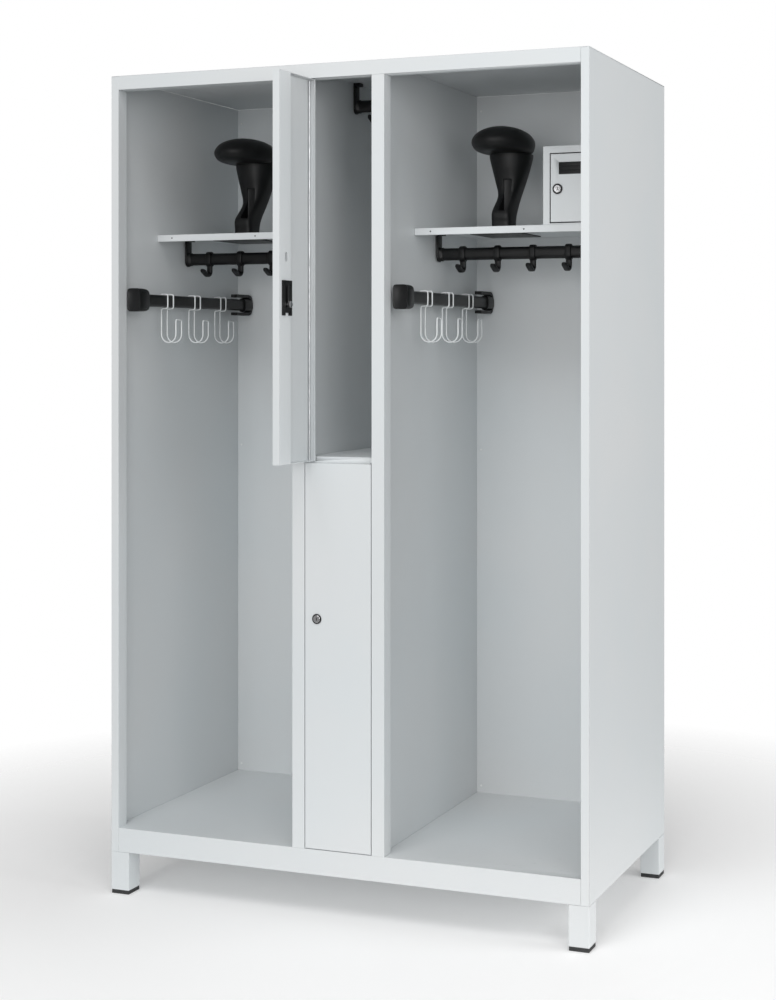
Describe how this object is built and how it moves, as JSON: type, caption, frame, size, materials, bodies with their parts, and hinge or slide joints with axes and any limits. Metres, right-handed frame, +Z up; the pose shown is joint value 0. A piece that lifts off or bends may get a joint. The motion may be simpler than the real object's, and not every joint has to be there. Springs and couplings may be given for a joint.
{
  "type": "fire service wardrobe locker",
  "caption": "Steel wardrobe locker on feet with open side bays, hat shelves, helmet stands, coat rails, a small lockable box and a narrow middle bay with stacked doors.",
  "frame": {"origin": "on the floor, in the middle of the rectangle that the locker and its open upper door take up", "axes": "+Z up, +Y towards the back, +X to the right as seen from the front"},
  "size_m": [1.2, 0.7522, 1.95],
  "materials": {
    "grey_steel": "light grey powder coat, satin",
    "black_plastic": "black moulded plastic, fine grain",
    "chrome": "bright nickel",
    "hook_wire": "white coated wire",
    "zinc_steel": "zinc plated",
    "rubber": "matt black rubber"
  },
  "bodies": {
    "locker": {"back_panel": "grey_steel", "floor": "grey_steel", "front_left_foot": "grey_steel", "front_left_glide": "rubber", "front_right_foot": "grey_steel", "front_right_glide": "rubber", "left_divider": "grey_steel", "left_hat_shelf": "grey_steel", "left_rail_claw": "black_plastic", "left_rail_grip": "black_plastic", "left_shelf_rail": "black_plastic", "left_side_panel": "grey_steel", "left_side_rail": "black_plastic", "left_stand_backing": "black_plastic", "left_stand_head": "black_plastic", "left_stand_neck": "black_plastic", "lock_box_body": "grey_steel", "lock_box_hinge_rod": "zinc_steel", "lower_hinge_rod": "zinc_steel", "middle_rail": "black_plastic", "middle_shelf": "grey_steel", "rear_left_foot": "grey_steel", "rear_left_glide": "rubber", "rear_right_foot": "grey_steel", "rear_right_glide": "rubber", "right_divider": "grey_steel", "right_hat_shelf": "grey_steel", "right_rail_claw": "black_plastic", "right_rail_grip": "black_plastic", "right_shelf_rail": "black_plastic", "right_side_panel": "grey_steel", "right_side_rail": "black_plastic", "right_stand_backing": "black_plastic", "right_stand_head": "black_plastic", "right_stand_neck": "black_plastic", "roof": "grey_steel", "upper_hinge_rod": "zinc_steel"},
    "upper_door": {"upper_door": "grey_steel", "upper_lock_case": "black_plastic"},
    "lower_door": {"lower_door": "grey_steel", "lower_lock_case": "black_plastic"},
    "upper_lock": {"upper_lock_core": "chrome"},
    "lower_lock": {"lower_lock_core": "chrome"},
    "lock_box_door": {"lock_box_door": "grey_steel"},
    "lock_box_lock": {"lock_box_lock": "chrome"},
    "left_coat_hook_1": {"left_coat_hook_1": "black_plastic"},
    "left_coat_hook_2": {"left_coat_hook_2": "black_plastic"},
    "left_coat_hook_3": {"left_coat_hook_3": "black_plastic"},
    "left_coat_hook_4": {"left_coat_hook_4": "black_plastic"},
    "left_wire_hook_1": {"left_wire_hook_1": "hook_wire"},
    "left_wire_hook_2": {"left_wire_hook_2": "hook_wire"},
    "left_wire_hook_3": {"left_wire_hook_3": "hook_wire"},
    "right_coat_hook_1": {"right_coat_hook_1": "black_plastic"},
    "right_coat_hook_2": {"right_coat_hook_2": "black_plastic"},
    "right_coat_hook_3": {"right_coat_hook_3": "black_plastic"},
    "right_coat_hook_4": {"right_coat_hook_4": "black_plastic"},
    "right_wire_hook_1": {"right_wire_hook_1": "hook_wire"},
    "right_wire_hook_2": {"right_wire_hook_2": "hook_wire"},
    "right_wire_hook_3": {"right_wire_hook_3": "hook_wire"},
    "middle_coat_hook": {"middle_coat_hook": "black_plastic"}
  },
  "joints": [
    {"name": "upper_door_hinge", "type": "hinge", "parent": "locker", "child": "upper_door", "pos_m": [-0.0745, -0.21896, 1.48], "axis": [0, 0, 1], "range_deg": [-28.5, 91.5]},
    {"name": "lower_door_hinge", "type": "hinge", "parent": "locker", "child": "lower_door", "pos_m": [0.0745, -0.21896, 0.6], "axis": [0, 0, 1], "range_deg": [0, 120]},
    {"name": "upper_lock_turn", "type": "hinge", "parent": "upper_door", "child": "upper_lock", "pos_m": [-0.07782, -0.34592, 1.3975], "axis": [0.9997, -0.0262, 0], "range_deg": [0, 90]},
    {"name": "lower_lock_turn", "type": "hinge", "parent": "lower_door", "child": "lower_lock", "pos_m": [-0.0525, -0.22396, 0.6835], "axis": [0, 1, 0], "range_deg": [-90, 0]},
    {"name": "lock_box_hinge", "type": "hinge", "parent": "locker", "child": "lock_box_door", "pos_m": [0.5737, -0.01646, 1.6673], "axis": [0, 0, 1], "range_deg": [0, 90]},
    {"name": "lock_box_turn", "type": "hinge", "parent": "lock_box_door", "child": "lock_box_lock", "pos_m": [0.4577, -0.02096, 1.6653], "axis": [0, 1, 0], "range_deg": [0, 90]},
    {"name": "left_coat_hook_1_slide", "type": "slide", "parent": "locker", "child": "left_coat_hook_1", "axis": [1, 0, 0], "range_m": [-0.03, 0.03]},
    {"name": "left_coat_hook_2_slide", "type": "slide", "parent": "locker", "child": "left_coat_hook_2", "axis": [1, 0, 0], "range_m": [-0.03, 0.03]},
    {"name": "left_coat_hook_3_slide", "type": "slide", "parent": "locker", "child": "left_coat_hook_3", "axis": [1, 0, 0], "range_m": [-0.03, 0.03]},
    {"name": "left_coat_hook_4_slide", "type": "slide", "parent": "locker", "child": "left_coat_hook_4", "axis": [1, 0, 0], "range_m": [-0.03, 0.03]},
    {"name": "left_wire_hook_1_slide", "type": "slide", "parent": "locker", "child": "left_wire_hook_1", "axis": [0, 1, 0], "range_m": [-0.04, 0.04]},
    {"name": "left_wire_hook_2_slide", "type": "slide", "parent": "locker", "child": "left_wire_hook_2", "axis": [0, 1, 0], "range_m": [-0.04, 0.04]},
    {"name": "left_wire_hook_3_slide", "type": "slide", "parent": "locker", "child": "left_wire_hook_3", "axis": [0, 1, 0], "range_m": [-0.04, 0.04]},
    {"name": "right_coat_hook_1_slide", "type": "slide", "parent": "locker", "child": "right_coat_hook_1", "axis": [1, 0, 0], "range_m": [-0.03, 0.03]},
    {"name": "right_coat_hook_2_slide", "type": "slide", "parent": "locker", "child": "right_coat_hook_2", "axis": [1, 0, 0], "range_m": [-0.03, 0.03]},
    {"name": "right_coat_hook_3_slide", "type": "slide", "parent": "locker", "child": "right_coat_hook_3", "axis": [1, 0, 0], "range_m": [-0.03, 0.03]},
    {"name": "right_coat_hook_4_slide", "type": "slide", "parent": "locker", "child": "right_coat_hook_4", "axis": [1, 0, 0], "range_m": [-0.03, 0.03]},
    {"name": "right_wire_hook_1_slide", "type": "slide", "parent": "locker", "child": "right_wire_hook_1", "axis": [0, 1, 0], "range_m": [-0.04, 0.04]},
    {"name": "right_wire_hook_2_slide", "type": "slide", "parent": "locker", "child": "right_wire_hook_2", "axis": [0, 1, 0], "range_m": [-0.04, 0.04]},
    {"name": "right_wire_hook_3_slide", "type": "slide", "parent": "locker", "child": "right_wire_hook_3", "axis": [0, 1, 0], "range_m": [-0.04, 0.04]},
    {"name": "middle_coat_hook_slide", "type": "slide", "parent": "locker", "child": "middle_coat_hook", "axis": [1, 0, 0], "range_m": [-0.02, 0.07]}
  ]
}
